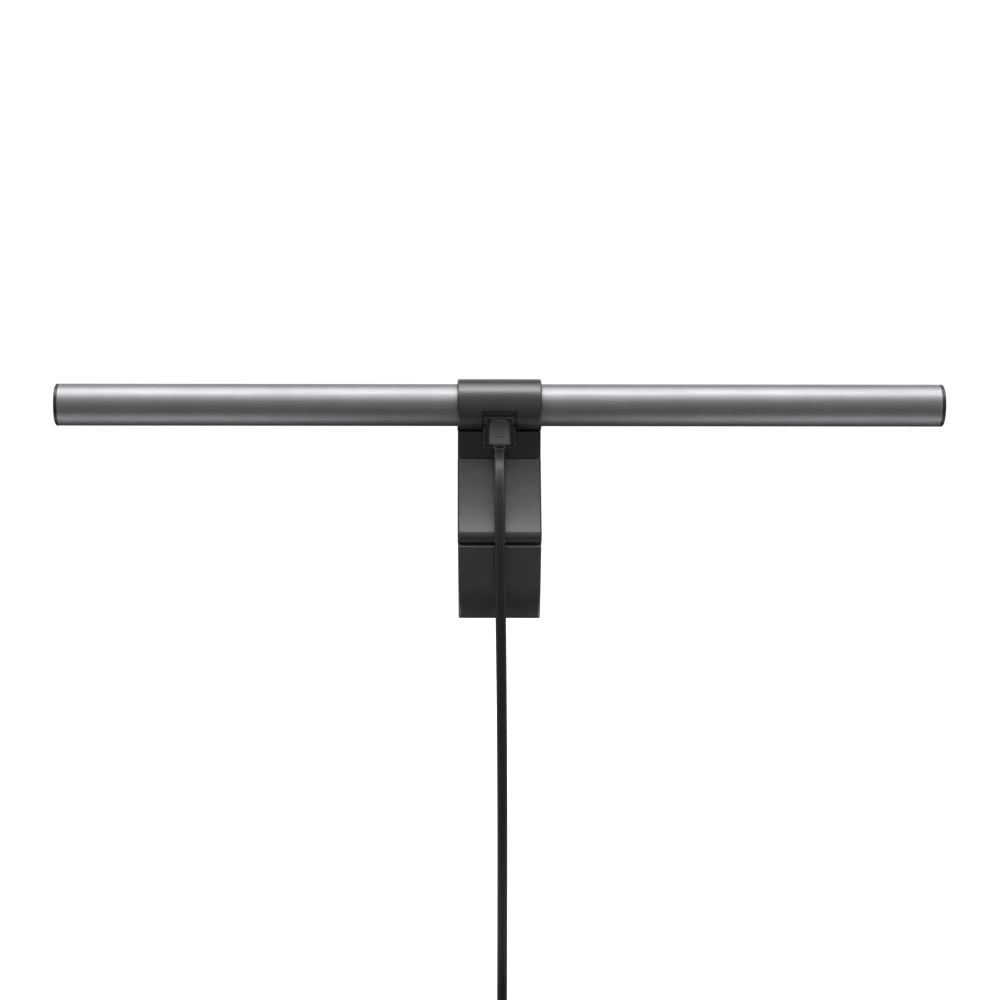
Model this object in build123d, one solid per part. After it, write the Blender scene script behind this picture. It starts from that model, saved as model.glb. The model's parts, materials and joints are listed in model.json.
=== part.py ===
"""A monitor light bar: a tilting aluminium lamp tube in a clip that stands on a monitor's top edge.

Millimetres. +X runs along the lamp, +Y points at the person in front of the monitor, +Z is up.
The origin is the middle of the seat pad's lower face, which rests on the monitor's top edge.
The side profile is set out from the lamp's axis: `back` is the distance behind it (towards -Y)
and `drop` is the distance below it (towards -Z).
"""
from build123d import *
from math import cos, pi, radians, sin, tan
import os

# ---- the lamp tube
BAR_LENGTH = 450.0
TUBE_R = 10.7
TUBE_WALL = 1.4
CAP_THICKNESS = 1.5
LIGHT_ANGLE = 40.0          # the diffuser looks this far forward of straight down
SLOT_HALF_ANGLE = 36.0
WEB_TOP, WEB_THICKNESS = -1.5, 1.2

# ---- the clip
SLEEVE_R = 13.3
SLEEVE_LENGTH = 42.5
SLEEVE_BORE = 11.6
CLIP_WIDTH = 42.0
SEAT_DROP = 27.5            # lamp axis down to the seat
SEAT_FRONT, SEAT_REAR = -11.2, -4.6
AXIS_Y = (SEAT_FRONT + SEAT_REAR) / 2
BASE_TOP, BASE_BOTTOM = 12.8, 26.3
BASE_REAR, BASE_FRONT = 6.5, -13.3
PLATE_TOP = 24.9
PLATE_REAR = -4.4
LIP_BOTTOM = 42.0
HINGE_BACK, HINGE_DROP = -3.0, 20.0
PIN_R = 1.25
BARREL_R = 4.2
KNUCKLE_IN, KNUCKLE_OUT = 9.2, 17.6

# ---- the arm
ARM_WIDTH = 42.2
ARM_TOP = 26.7
ARM_SEAM = 67.2
LIP_RADIUS = 4.2
BLOCK_TOP, BLOCK_BOTTOM = 67.6, 106.0
BLOCK_FRONT, BLOCK_REAR = 12.6, 25.8
BLOCK_TOP_WIDTH, BLOCK_BOTTOM_WIDTH = 41.9, 41.1

# ---- the port, the plug and the cord
PORT_BACK, PORT_DROP = 7.0, 7.6
PLUG_LEAN = 14.0
PLUG_WIDTH, PLUG_THICKNESS, PLUG_LENGTH = 10.8, 5.5, 12.2
CORD_WIDTH, CORD_THICKNESS = 5.3, 2.4
FLOOR_DROP = 360.0          # lamp axis down to the desk top

# ---- the put-away coil, lying on the desk
COIL_X, COIL_BACK = -32.6, -29.8
COIL_INNER, COIL_OUTER = 25.2, 36.8
COIL_HEIGHT = 11.0
TIE_WALL = 0.7

# the cord's route from the plug down to the coil: (x, back, drop)
ROUTE = [
    (0.0, 9.95, 19.44),
    (0.0, 11.3, 24.8),
    (0.0, 17.4, 32.7),
    (0.0, 23.0, 43.3),
    (0.1, 27.8, 56.5),
    (0.2, 30.0, 72.3),
    (0.5, 31.3, 98.3),
    (1.2, 31.8, 142.0),
    (1.8, 31.1, 200.0),
    (2.0, 30.6, 256.0),
    (2.1, 29.3, 304.0),
    (2.1, 27.6, 330.0),
    (2.1, 19.5, 348.5),
    (2.0, 3.0, 358.8),
    (1.9, -11.0, 358.3),
    (2.0, -27.0, 356.9),
]
# the far end of the cord, from the coil's upper turns down to the charger plug: (x, back, drop)
END_ROUTE = [
    (-36.5, -64.8, 351.0),
    (-51.0, -64.2, 351.8),
    (-66.5, -59.6, 355.4),
    (-80.0, -56.0, 356.0),
]
CHARGER_PLUG = END_ROUTE[-1]
CHARGER_TURN = 15.0         # the far plug points along -X, turned this far towards the back

HALF = BAR_LENGTH / 2
TUBE_END = HALF - CAP_THICKNESS
SLEEVE_END = SLEEVE_LENGTH / 2


# ---------------------------------------------------------------- helpers
def at(back, drop, x=0.0):
    """A point given by its distance behind and below the lamp's axis."""
    return Vector(x, AXIS_Y - back, SEAT_DROP - drop)


AXIS = Pos(0, AXIS_Y, SEAT_DROP)
AIM = AXIS * Rot(LIGHT_ANGLE, 0, 0)
PLUG = Pos(*at(PORT_BACK, PORT_DROP)) * Rot(-PLUG_LEAN, 0, 0)


def rod(radius, x0, x1, back=0.0, drop=0.0):
    """A round bar along X from x0 to x1."""
    middle = at(back, drop, (x0 + x1) / 2)
    return Pos(*middle) * Rot(0, 90, 0) * Cylinder(radius, x1 - x0)


def ring(outer, inner, x0, x1):
    """A tube about the lamp's axis from x0 to x1."""
    return rod(outer, x0, x1) - rod(inner, x0 - 1, x1 + 1)


def box(x0, x1, back0, back1, drop0, drop1):
    """A box between two x, two back and two drop values."""
    centre = at((back0 + back1) / 2, (drop0 + drop1) / 2, (x0 + x1) / 2)
    return Pos(*centre) * Box(x1 - x0, back1 - back0, drop1 - drop0)


def slab(edges, x0, x1):
    """A closed side outline, drawn at x = 0, made solid from x0 to x1."""
    face = Pos(x0, 0, 0) * Face(Wire(edges))
    return Solid.extrude(face, Vector(x1 - x0, 0, 0))


def polygon(points, x0, x1):
    """A straight-sided side outline of (back, drop) points, made solid from x0 to x1."""
    corners = [at(*p) for p in points]
    return slab(Polyline(*corners, close=True).edges(), x0, x1)


def pie(start, end, radius, x0, x1):
    """A wedge about the lamp's axis; angles run from straight down towards the back."""
    steps = 6
    rim = [radians(start + (end - start) * i / steps) for i in range(steps + 1)]
    points = [(0, 0)] + [(radius * sin(a), radius * cos(a)) for a in rim]
    return polygon(points, x0, x1)


def mirrored(shape):
    """The same piece on the lamp's other side."""
    return mirror(shape, Plane.YZ)


def save(node, shape):
    """Write one node, a single solid or a group of separate solids."""
    pieces = shape if isinstance(shape, list) else [shape]
    solids = [solid for piece in pieces for solid in piece.solids()]
    body = solids[0] if len(solids) == 1 else Compound(children=list(solids))
    body.label = node
    export_step(body, f"parts/{node}.step")


def save_pair(node, shape):
    """Write a right-hand piece and its mirror image."""
    save(f"{node}_right", shape)
    save(f"{node}_left", mirrored(shape))


# ---------------------------------------------------------------- lamp tube and its light
def aimed_box(x0, x1, y0, y1, z0, z1):
    """A box in the lamp's own frame, where -Z is the way the light goes."""
    centre = Pos((x0 + x1) / 2, (y0 + y1) / 2, (z0 + z1) / 2)
    return AIM * centre * Box(x1 - x0, y1 - y0, z1 - z0)


BOSS_Y, BOSS_Z, BOSS_R = 5.7, 5.0, 1.9
SCREW_R, SCREW_HEAD_R = 0.95, 1.9


def boss_rod(radius, side, x0, x1):
    """A round bar on the centre line of one of the tube's two screw bosses."""
    return AIM * Pos((x0 + x1) / 2, side * BOSS_Y, BOSS_Z) * Rot(0, 90, 0) * Cylinder(radius, x1 - x0)


def light_slot(half_angle, x0, x1):
    """The wedge that the light leaves by."""
    return pie(-LIGHT_ANGLE - half_angle, -LIGHT_ANGLE + half_angle, TUBE_R + 4, x0, x1)


def tube_housing():
    """Extruded tube with a light slot, a web for the boards and two screw bosses."""
    inner = TUBE_R - TUBE_WALL
    shell = ring(TUBE_R, inner, -TUBE_END, TUBE_END)
    by_end = shell.edges().filter_by(GeomType.CIRCLE).group_by(Axis.X)
    shell = chamfer([by_end[end].sort_by(SortBy.LENGTH)[-1] for end in (0, -1)], 0.3)
    shell -= light_slot(SLOT_HALF_ANGLE, -HALF, HALF)
    core = rod(inner + 0.2, -TUBE_END, TUBE_END)
    web = aimed_box(-TUBE_END, TUBE_END, -TUBE_R, TUBE_R, WEB_TOP - WEB_THICKNESS, WEB_TOP) & core
    bosses = [boss_rod(BOSS_R, side, -TUBE_END, TUBE_END) & core for side in (-1, 1)]
    body = shell + web + bosses[0] + bosses[1]
    for side in (-1, 1):
        body -= boss_rod(SCREW_R + 0.02, side, -HALF, HALF)
    # the port and its frame reach in through this window and stay clear of it through the tilt
    return body - pie(-10, 112, TUBE_R + 2, -9.5, 9.5)


def end_cap():
    """A flat bevelled cap with a key that locates it in the tube."""
    disc = rod(TUBE_R, TUBE_END, HALF)
    disc = chamfer(disc.edges().group_by(Axis.X)[-1], 0.5)
    key = rod(TUBE_R - TUBE_WALL - 0.05, TUBE_END - 3, TUBE_END) - rod(7.9, TUBE_END - 4, TUBE_END)
    key &= pie(180 - LIGHT_ANGLE - 22, 180 - LIGHT_ANGLE + 22, TUBE_R, TUBE_END - 4, TUBE_END + 0.1)
    cap = disc + key
    for side in (-1, 1):
        cap -= boss_rod(SCREW_R + 0.1, side, TUBE_END - 1, HALF + 1)
        cap -= boss_rod(SCREW_HEAD_R + 0.1, side, HALF - 1.0, HALF + 1)
    return cap


def cap_screws():
    """Two self-tapping screws at each end."""
    screws = []
    for side in (-1, 1):
        shank = boss_rod(SCREW_R, side, HALF - 9, HALF - 1.0)
        head = boss_rod(SCREW_HEAD_R, side, HALF - 1.0, HALF - 0.15)
        slot = boss_rod(0.75, side, HALF - 0.6, HALF)
        screws.append(shank + head - slot)
    return screws + [mirrored(s) for s in screws]


def diffuser():
    """A frosted strip that fills the slot and is held by a flange inside the tube."""
    x0, x1 = SLEEVE_END + 0.3, TUBE_END - 0.05
    inner = TUBE_R - TUBE_WALL
    lens = ring(TUBE_R, inner - 0.3, x0, x1) & light_slot(SLOT_HALF_ANGLE - 0.3, x0, x1)
    flange = ring(inner - 0.05, inner - 0.95, x0, x1) & light_slot(SLOT_HALF_ANGLE + 6, x0, x1)
    return lens + flange


LED_BOARD_X0, LED_BOARD_X1 = 14.5, TUBE_END - 2
LED_BOARD_TOP = WEB_TOP - WEB_THICKNESS
LED_PITCH = 7.6


def led_board():
    """The circuit strip that carries one side's diodes."""
    return aimed_box(LED_BOARD_X0, LED_BOARD_X1, -4.5, 4.5, LED_BOARD_TOP - 1.0, LED_BOARD_TOP)


def leds():
    """One side's diodes: small flat packages in a row."""
    count = int((LED_BOARD_X1 - SLEEVE_END - 6) / LED_PITCH)
    first = SLEEVE_END + 5
    top = LED_BOARD_TOP - 1.0
    return [
        aimed_box(first + i * LED_PITCH - 1.75, first + i * LED_PITCH + 1.75, -1.4, 1.4, top - 0.7, top)
        for i in range(count)
    ]


def reflector():
    """Two white side strips that turn the light forward, one on each side of the diodes."""
    x0, x1 = SLEEVE_END + 0.5, LED_BOARD_X1
    top = LED_BOARD_TOP - 1.0
    strips = []
    for side in (-1, 1):
        corners = [(1.9 * side, top), (2.5 * side, top), (4.6 * side, top - 2.9), (4.1 * side, top - 3.1)]
        edges = Polyline(*[Vector(x0, y, z) for y, z in corners], close=True).edges()
        strips.append(AIM * Solid.extrude(Face(Wire(edges)), Vector(x1 - x0, 0, 0)))
    return strips


def bridge_lead():
    """The flat jumper that joins the two diode boards under the sleeve."""
    level = LED_BOARD_TOP
    strip = aimed_box(-15.5, 15.5, 1.0, 3.6, level - 1.4, level - 1.02)
    return strip


def driver_board():
    """The dimming circuit, in the tube's rear compartment."""
    return aimed_box(26, 92, -5.2, 5.2, 0.6, 1.6)


def driver_parts():
    """The tall components on the driver board."""
    coil = AIM * Pos(38, 0, 1.6 + 1.6) * Cylinder(3.0, 3.2)
    chip = aimed_box(50, 57, -3, 3, 1.6, 2.7)
    small = aimed_box(64, 68, -2.4, 2.4, 1.6, 2.6)
    link = aimed_box(80, 88, -3.0, 3.0, 1.6, 4.4)
    return [coil, chip, small, link]


def retaining_collar():
    """A collar on the tube that keeps it from sliding out of the sleeve."""
    return ring(TUBE_R + 0.55, TUBE_R, 11.2, 16.1)


# ---------------------------------------------------------------- sleeve and controls
def tilt_bush():
    """The ring in the sleeve's end that the tube turns in."""
    return ring(SLEEVE_BORE, TUBE_R + 0.05, 16.2, SLEEVE_END - 0.5)


PANEL_START, PANEL_END = 186.0, 238.0
PANEL_DEPTH = 0.7
PANEL_HALF = 17.0
SENSOR_ANGLE = 222.0


def panel_shape(gap):
    """The strip of the sleeve that the touch panel fills; gap shrinks it on every side."""
    strip = ring(SLEEVE_R, SLEEVE_R - PANEL_DEPTH, -PANEL_HALF + gap, PANEL_HALF - gap)
    edge = gap / SLEEVE_R * 180 / pi
    return strip & pie(PANEL_START + edge, PANEL_END - edge, SLEEVE_R + 2, -PANEL_HALF, PANEL_HALF)


def sensor_rod(radius, inner, outer):
    """A short rod through the touch panel, pointing away from the lamp's axis."""
    place = AXIS * Rot(180 - SENSOR_ANGLE, 0, 0) * Pos(0, 0, (inner + outer) / 2)
    return place * Cylinder(radius, outer - inner)


FRAME_HALF = 8.2
FRAME_WALL = 0.8
FRAME_FRONT = 2.6
FRAME_TOP, FRAME_BOTTOM = 5.7, 21.3
RIM_HALF, MOUTH_HALF = 7.1, 6.2
RIM_TOP, RIM_BOTTOM = 4.8, 8.4
RIM_BACK, RIM_R = 8.8, 13.1
RECESS_HALF, RECESS_TOP, RECESS_R = 8.8, 1.5, 12.3


def recess_window(gap):
    """The opening in the sleeve's rear for the port; gap shrinks it at the sides and the top."""
    half = RECESS_HALF - gap
    return box(-half, half, FRAME_FRONT, SLEEVE_R + 1, RECESS_TOP + gap, SLEEVE_R + 1)


def sleeve():
    """The round housing that the lamp tube turns in, with the recess for the plug."""
    body = rod(SLEEVE_R, -SLEEVE_END, SLEEVE_END)
    body = fillet(body.edges().filter_by(GeomType.CIRCLE), 1.0)
    body -= rod(SLEEVE_BORE, -SLEEVE_END - 1, SLEEVE_END + 1)
    body -= panel_shape(0.0)
    return body - recess_window(0.0)


def touch_panel():
    """The glossy control strip along the sleeve's top front."""
    return panel_shape(0.08) - sensor_rod(1.6, SLEEVE_R - 2, SLEEVE_R + 2)


def light_sensor_window():
    """The small clear window that the brightness sensor looks through."""
    return sensor_rod(1.5, SLEEVE_R - PANEL_DEPTH, SLEEVE_R + 1) & rod(SLEEVE_R - 0.05, -3, 3)


def touch_film():
    """The sensing film bonded inside the sleeve, behind the touch panel."""
    film = ring(SLEEVE_BORE, SLEEVE_BORE - 0.3, -8, 8)
    return film & pie(PANEL_START, PANEL_END, SLEEVE_R, -8, 8)


# ---------------------------------------------------------------- clip base
BOSS_BACK = -9.6
BASE_BOSS_X = 14.5


def clip_base():
    """The housing under the sleeve: it carries the hinge pin and is closed below by the hook."""
    half = CLIP_WIDTH / 2
    outline = [
        (BASE_REAR, BASE_TOP), (BASE_REAR, BASE_BOTTOM), (5.0, BASE_BOTTOM), (5.0, PLATE_TOP),
        (BASE_FRONT, PLATE_TOP), (BASE_FRONT, 4.0), (0.0, 4.0), (0.0, BASE_TOP),
    ]
    body = polygon(outline, -half, half)
    upright = body.edges().filter_by(Axis.Z).sort_by(Axis.Y)
    body = fillet([e for e in upright if e.center().Y < at(BASE_REAR - 0.1, 0).Y], 1.4)
    side = box(-half, -18.3, -3.4, 5.2, PLATE_TOP - 0.1, BASE_BOTTOM)
    body += side + mirrored(side)
    body -= rod(SLEEVE_R + 0.02, -half - 1, half + 1)
    body -= box(-18.3, 18.3, -11.8, 5.0, 15.0, BASE_BOTTOM + 1)
    reach = FRAME_HALF + 0.3
    body -= box(-reach, reach, FRAME_FRONT - 0.02, BASE_REAR + 1, BASE_TOP - 2, FRAME_BOTTOM + 0.02)
    for x in (-BASE_BOSS_X, BASE_BOSS_X):
        post = Pos(*at(BOSS_BACK, (15 + PLATE_TOP) / 2, x)) * Cylinder(2.1, PLATE_TOP - 15 + 0.4)
        bore = Pos(*at(BOSS_BACK, PLATE_TOP - 4, x)) * Cylinder(0.97, 8)
        body += post & box(-20, 20, -14, 6, 14.8, PLATE_TOP)
        body -= bore
    return body - rod(PIN_R, -19.8, 19.8, HINGE_BACK, HINGE_DROP)


def port_frame():
    """The moulded pocket that guides the plug into the port."""
    front, inside = FRAME_FRONT + 0.02, FRAME_HALF - FRAME_WALL
    body = box(-FRAME_HALF, FRAME_HALF, front, SLEEVE_R, FRAME_TOP, FRAME_BOTTOM)
    keep = rod(RECESS_R, -FRAME_HALF, FRAME_HALF)
    keep += box(-FRAME_HALF, FRAME_HALF, front, BASE_REAR - 0.2, FRAME_TOP, FRAME_BOTTOM)
    body &= keep
    body += box(-RIM_HALF, RIM_HALF, RIM_BACK, SLEEVE_R, RIM_TOP, RIM_BOTTOM) & rod(RIM_R, -8, 8)
    floor, ceiling = FRAME_FRONT + FRAME_WALL, FRAME_TOP + FRAME_WALL
    body -= box(-MOUTH_HALF, MOUTH_HALF, floor, SLEEVE_R + 1, ceiling, FRAME_BOTTOM - FRAME_WALL)
    body -= box(-inside, inside, floor, SLEEVE_R + 1, RIM_BOTTOM, FRAME_BOTTOM - FRAME_WALL)
    mouth_top = RIM_TOP + FRAME_WALL
    body -= box(-MOUTH_HALF, MOUTH_HALF, RIM_BACK + FRAME_WALL, SLEEVE_R + 1, mouth_top, RIM_BOTTOM)
    top = body.edges().filter_by(Axis.X).group_by(Axis.Z)[-1].sort_by(Axis.Y)[0]
    body = chamfer(top, 0.3)
    opening = PLUG * Pos(0, 0, 2) * Box(9.2, 3.4, 6)
    return body - opening


def port_surround():
    """The black insert that fills the sleeve's opening round the port's pocket."""
    insert = ring(RECESS_R, SLEEVE_BORE + 0.02, -RECESS_HALF, RECESS_HALF) & recess_window(0.04)
    reach = FRAME_HALF + 0.02
    insert -= box(-reach, reach, 0, SLEEVE_R + 1, FRAME_TOP - 0.02, SLEEVE_R + 1)
    reach = RIM_HALF + 0.02
    return insert - box(-reach, reach, 0, SLEEVE_R + 1, RIM_TOP - 0.02, SLEEVE_R + 1)


def usb_port():
    """The receptacle's metal shell and its contact tongue."""
    mouth, depth = 0.7, 7.0
    shell = Pos(0, 0, mouth + depth / 2) * Box(8.94, 3.16, depth)
    cavity = Pos(0, 0, mouth + (depth - 0.4) / 2 - 0.1) * Box(8.34, 2.56, depth - 0.2)
    tongue = Pos(0, 0, mouth + 1 + (depth - 1) / 2) * Box(6.7, 0.7, depth - 1)
    return PLUG * (shell - cavity + tongue)


def port_board():
    """The small circuit board that the receptacle is soldered to."""
    return PLUG * Pos(0, 2.1, 5.6) * Box(13.0, 1.0, 5.8)


def front_hook():
    """The plate that closes the base and turns down as a lip in front of the screen."""
    half = 19.0
    outline = [
        (PLATE_REAR, PLATE_TOP), (PLATE_REAR, BASE_BOTTOM), (-13.0, BASE_BOTTOM), (-13.0, LIP_BOTTOM),
        (-14.6, LIP_BOTTOM), (-14.6, PLATE_TOP - 2.2), (BASE_FRONT - 0.02, PLATE_TOP - 2.2),
        (BASE_FRONT - 0.02, PLATE_TOP),
    ]
    body = polygon(outline, -half, half)
    low = body.edges().filter_by(Axis.Y).group_by(Axis.Z)[0]
    body = fillet(low, 5.0)
    rim = [e for e in body.edges().filter_by(Axis.X) if abs(e.center().Y - at(-14.6, 0).Y) < 0.01]
    body = fillet(rim, 0.7)
    for x in (-BASE_BOSS_X, BASE_BOSS_X):
        body -= Pos(*at(BOSS_BACK, PLATE_TOP + 0.5, x)) * Cylinder(1.1, 4)
        body -= Pos(*at(BOSS_BACK, BASE_BOTTOM - 0.4, x)) * Cylinder(1.9, 0.82)
    return body


def hook_screws():
    """The two screws that hold the hook to the base, hidden by the seat pad."""
    screws = []
    for x in (-BASE_BOSS_X, BASE_BOSS_X):
        head = Pos(*at(BOSS_BACK, BASE_BOTTOM - 0.4, x)) * Cylinder(1.8, 0.7)
        shank = Pos(*at(BOSS_BACK, PLATE_TOP - 3 + 0.35, x)) * Cylinder(0.95, 7.3)
        screws.append(head + shank)
    return screws


def seat_pad():
    """The soft pad that rests on the monitor's top edge."""
    pad = box(-17.5, 17.5, SEAT_FRONT, SEAT_REAR, BASE_BOTTOM, SEAT_DROP)
    return fillet(pad.edges().filter_by(Axis.Z), 1.2)


def lip_pad():
    """The soft pad on the lip's inner face, against the screen's frame."""
    pad = box(-16.0, 16.0, -13.0, -12.0, 28.5, 40.0)
    return fillet(pad.edges().filter_by(Axis.Y), 2.5)


def hinge_pin():
    """The steel pin that the arm swings on."""
    return rod(PIN_R, -19.8, 19.8, HINGE_BACK, HINGE_DROP)


def hinge_washers():
    """Friction washers between the knuckles and the base's side walls."""
    x0, x1 = KNUCKLE_OUT + 0.06, 18.3
    washer = rod(2.9, x0, x1, HINGE_BACK, HINGE_DROP) - rod(PIN_R, x0 - 1, x1 + 1, HINGE_BACK, HINGE_DROP)
    return [washer, mirrored(washer)]


# ---------------------------------------------------------------- the swinging arm
RAMP_TOP = (6.5, ARM_TOP)
RAMP_MIDDLE = (14.6, 43.4)
RAMP_END = (26.0, 61.0)
LIP_CENTRE = (22.5, 63.35)
LIP_END_ANGLE = 62.0        # the lip turns this far below the horizontal
INNER_TOP = (0.9, 28.6)
INNER_BEND = 59.5
POCKET_HALF = 18.8
SPIGOT_BOTTOM = 73.5
CASE_SCREWS = [(-13.0, 71.9), (13.0, 71.9), (-15.0, 101.0), (15.0, 101.0)]


def across(radius, x, drop, back0, back1):
    """A round bar from front to back."""
    middle = at((back0 + back1) / 2, drop, x)
    return Pos(*middle) * Rot(90, 0, 0) * Cylinder(radius, back1 - back0)


def knuckle(x0, x1):
    """One hinge knuckle and the web that joins it to the arm."""
    web = polygon([(1.0, 18.5), (4.5, 24.0), (4.5, 29.0), (1.2, 29.0), (-0.6, 26.0), (-4.0, 24.0)], x0, x1)
    barrel = rod(BARREL_R, x0, x1, HINGE_BACK, HINGE_DROP)
    return barrel + web - rod(PIN_R + 0.9, x0 - 1, x1 + 1, HINGE_BACK, HINGE_DROP)


def arm_shell():
    """The curved upper part of the arm, open towards the monitor, with the two hinge knuckles."""
    half = ARM_WIDTH / 2
    lip_x, lip_drop = LIP_CENTRE
    low = radians(LIP_END_ANGLE)
    lip_low = at(lip_x + LIP_RADIUS * cos(low), lip_drop + LIP_RADIUS * sin(low))
    foot = at(lip_x + LIP_RADIUS * cos(low) - 0.3, ARM_SEAM)
    front_foot, front_bend = at(BLOCK_FRONT, ARM_SEAM), at(BLOCK_FRONT, INNER_BEND)
    edges = [
        ThreePointArc(at(*RAMP_TOP), at(*RAMP_MIDDLE), at(*RAMP_END)),
        ThreePointArc(at(*RAMP_END), at(lip_x + LIP_RADIUS, lip_drop), lip_low),
        Line(lip_low, foot), Line(foot, front_foot), Line(front_foot, front_bend),
        Line(front_bend, at(*INNER_TOP)), Line(at(*INNER_TOP), at(INNER_TOP[0], ARM_TOP)),
        Line(at(INNER_TOP[0], ARM_TOP), at(*RAMP_TOP)),
    ]
    body = slab(edges, -half, half)
    rims = [e for e in body.edges() if e.geom_type == GeomType.CIRCLE]
    body = chamfer(rims, 0.7)
    pocket = [(2.0, 33.5), (7.1, 33.5), (12.3, 43.4), (18.6, 53.5), (23.6, 61.0), (24.2, 63.5),
              (23.4, 65.3), (11.5, 65.3), (11.5, 60.0)]
    body -= polygon(pocket, -POCKET_HALF, POCKET_HALF)
    body += box(-17.0, 17.0, 15.2, 22.6, ARM_SEAM - 0.5, SPIGOT_BOTTOM)
    for side in (-1, 1):
        x0, x1 = sorted((side * KNUCKLE_IN, side * KNUCKLE_OUT))
        body += knuckle(x0, x1)
    for x, drop in CASE_SCREWS[:2]:
        body -= across(0.97, x, drop, 12, 20.5)
    return body


def arm_inner_cover():
    """The bent plate that closes the arm on the monitor's side."""
    outline = [(2.83, 33.65), (BLOCK_FRONT, INNER_BEND), (BLOCK_FRONT, 65.2), (14.1, 65.2),
               (14.1, 59.2), (4.5, 33.65)]
    return polygon(outline, -POCKET_HALF + 0.1, POCKET_HALF - 0.1)


def arm_ribs():
    """Stiffening ribs inside the arm, which also hold its inner cover."""
    outline = [(5.2, 34.0), (7.0, 34.0), (12.2, 43.5), (18.4, 53.5), (23.3, 61.0), (23.8, 63.5),
               (23.2, 65.2), (14.2, 65.2), (14.2, 59.2)]
    return [polygon(outline, x - 0.7, x + 0.7) for x in (-9.0, 0.0, 9.0)]


def knuckle_bushes():
    """The bearing sleeves in the two knuckles, which run on the pin."""
    bush = rod(PIN_R + 0.9, KNUCKLE_IN, KNUCKLE_OUT, HINGE_BACK, HINGE_DROP)
    bush -= rod(PIN_R + 0.05, KNUCKLE_IN - 1, KNUCKLE_OUT + 1, HINGE_BACK, HINGE_DROP)
    return [bush, mirrored(bush)]


# ---------------------------------------------------------------- the weighted block
WAIST_DROP = 88.0
HEEL_RADIUS, HEEL_ANGLE = 35.2, 26.0
COVER_BACK = 14.2


def heel_point(angle):
    """A point on the curve that brings the block's rear face forward at the bottom."""
    a = radians(angle)
    return at(BLOCK_REAR - HEEL_RADIUS * (1 - cos(a)), WAIST_DROP + HEEL_RADIUS * sin(a))


def taper_wedge():
    """A wedge with the block's slightly sloping sides."""
    top, low = BLOCK_TOP_WIDTH / 2, BLOCK_BOTTOM_WIDTH / 2
    corners = [(-top, BLOCK_TOP), (top, BLOCK_TOP), (low, BLOCK_BOTTOM), (-low, BLOCK_BOTTOM)]
    front = [at(BLOCK_FRONT - 5, drop, x) for x, drop in corners]
    face = Face(Wire(Polyline(*front, close=True).edges()))
    return Solid.extrude(face, Vector(0, -30, 0))


def weight_case():
    """The block's housing, open towards the monitor."""
    corner, shoulder = at(24.6, BLOCK_TOP), at(BLOCK_REAR, BLOCK_TOP + 1.2)
    waist, heel = at(BLOCK_REAR, WAIST_DROP), heel_point(HEEL_ANGLE)
    toe = at(20.8, BLOCK_BOTTOM)
    front_low, front_top = at(BLOCK_FRONT, BLOCK_BOTTOM), at(BLOCK_FRONT, BLOCK_TOP)
    edges = [
        Line(corner, shoulder), Line(shoulder, waist),
        ThreePointArc(waist, heel_point(HEEL_ANGLE / 2), heel), Line(heel, toe),
        Line(toe, front_low), Line(front_low, front_top), Line(front_top, corner),
    ]
    body = slab(edges, -BLOCK_TOP_WIDTH, BLOCK_TOP_WIDTH) & taper_wedge()
    side_x = BLOCK_BOTTOM_WIDTH / 2 - 0.1
    rear_y = at(21.0, 0).Y
    upright = [
        e for e in body.edges()
        if abs(e.center().X) > side_x and e.center().Y < rear_y and e.length > 8
    ]
    body = fillet(upright, 1.2)
    pocket = [(11.5, 69.6), (24.0, 69.6), (24.0, 88.0), (23.2, 95.0), (21.5, 101.0), (20.3, 104.2),
              (11.5, 104.2)]
    body -= polygon(pocket, -18.6, 18.6)
    body -= box(-17.05, 17.05, 15.15, 22.65, BLOCK_TOP - 1, 70)
    for x, drop in CASE_SCREWS[2:]:
        body += across(2.3, x, drop, COVER_BACK + 0.05, 21.6) - across(0.97, x, drop, 12, 20.5)
    return body


def weight_cover():
    """The plate that closes the block towards the monitor."""
    plate = box(-18.5, 18.5, BLOCK_FRONT, COVER_BACK, 69.75, 104.05)
    for x, drop in CASE_SCREWS:
        plate -= across(1.1, x, drop, 10, 16) + across(1.9, x, drop, 10, BLOCK_FRONT + 0.8)
    return plate


def case_screws():
    """The four screws under the rear pad that hold the cover, the block and the arm together."""
    return [
        across(1.8, x, drop, BLOCK_FRONT + 0.05, BLOCK_FRONT + 0.8)
        + across(0.95, x, drop, BLOCK_FRONT + 0.5, 20.0)
        for x, drop in CASE_SCREWS
    ]


def counterweight():
    """The steel block that presses the arm against the monitor."""
    outline = [(14.5, 74.2), (23.7, 74.2), (23.7, 88.0), (23.0, 94.5), (22.0, 98.2), (14.5, 98.2)]
    return polygon(outline, -18.0, 18.0)


def rear_pad():
    """The soft pad that touches the monitor's back."""
    pad = box(-17.2, 17.2, 11.4, BLOCK_FRONT, 70.3, 103.5)
    return fillet(pad.edges().filter_by(Axis.Y), 3.0)


# ---------------------------------------------------------------- plug and cord
def rounded_bar(width, height, length, corner):
    """A bar with rounded long edges, standing on z = 0."""
    bar = Pos(0, 0, length / 2) * Box(width, height, length)
    return fillet(bar.edges().filter_by(Axis.Z), corner)


def hollow_shell(width, height, length, wall, corner):
    """A rectangular metal shell, open at both ends, standing on z = 0."""
    inside = rounded_bar(width - 2 * wall, height - 2 * wall, length + 2, corner - wall)
    return rounded_bar(width, height, length, corner) - Pos(0, 0, -1) * inside


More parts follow.
